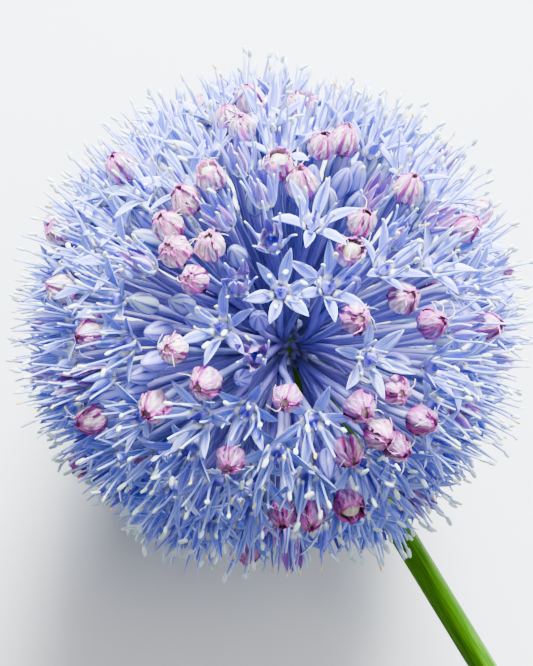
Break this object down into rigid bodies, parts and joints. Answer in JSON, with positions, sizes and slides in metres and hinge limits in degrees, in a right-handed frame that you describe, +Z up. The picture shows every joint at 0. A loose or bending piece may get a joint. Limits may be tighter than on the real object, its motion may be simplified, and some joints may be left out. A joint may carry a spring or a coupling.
{
  "type": "allium flower head",
  "caption": "Azure allium flower head: a globe of small starry florets, papery spent ones and buds on thin stalks, lying with its green stem cut short.",
  "frame": {"origin": "on the surface the flower lies on, under the middle of the whole flower's box", "axes": "+Y along the stem, away from the globe; -Y is the crown of the globe; +Z up from the surface it lies on"},
  "size_m": [0.0596, 0.1098, 0.0595],
  "materials": {
    "scape_green": "satin, smooth plant skin",
    "floret_azure": "matt petal"
  },
  "bodies": {
    "root": {"scape": "scape_green", "floret_spray_01": "floret_azure", "floret_spray_02": "floret_azure", "floret_spray_03": "floret_azure", "floret_spray_04": "floret_azure", "floret_spray_05": "floret_azure", "floret_spray_06": "floret_azure", "floret_spray_07": "floret_azure", "floret_spray_08": "floret_azure", "floret_spray_09": "floret_azure", "floret_spray_10": "floret_azure", "floret_spray_11": "floret_azure", "floret_spray_12": "floret_azure", "floret_spray_13": "floret_azure", "floret_spray_14": "floret_azure", "floret_spray_15": "floret_azure", "floret_spray_16": "floret_azure", "floret_spray_17": "floret_azure", "floret_spray_18": "floret_azure", "floret_spray_19": "floret_azure", "floret_spray_20": "floret_azure", "floret_spray_21": "floret_azure", "floret_spray_22": "floret_azure", "floret_spray_23": "floret_azure", "floret_spray_24": "floret_azure", "floret_spray_25": "floret_azure", "floret_spray_26": "floret_azure", "floret_spray_27": "floret_azure", "floret_spray_28": "floret_azure", "floret_spray_29": "floret_azure", "floret_spray_30": "floret_azure", "floret_spray_31": "floret_azure", "floret_spray_32": "floret_azure", "floret_spray_33": "floret_azure", "floret_spray_34": "floret_azure", "floret_spray_35": "floret_azure", "floret_spray_36": "floret_azure", "floret_spray_37": "floret_azure", "floret_spray_38": "floret_azure", "floret_spray_39": "floret_azure", "floret_spray_40": "floret_azure", "floret_spray_41": "floret_azure", "floret_spray_42": "floret_azure", "floret_spray_43": "floret_azure", "floret_spray_44": "floret_azure", "floret_spray_45": "floret_azure", "floret_spray_46": "floret_azure", "floret_spray_47": "floret_azure", "floret_spray_48": "floret_azure", "floret_spray_49": "floret_azure"}
  },
  "joints": []
}
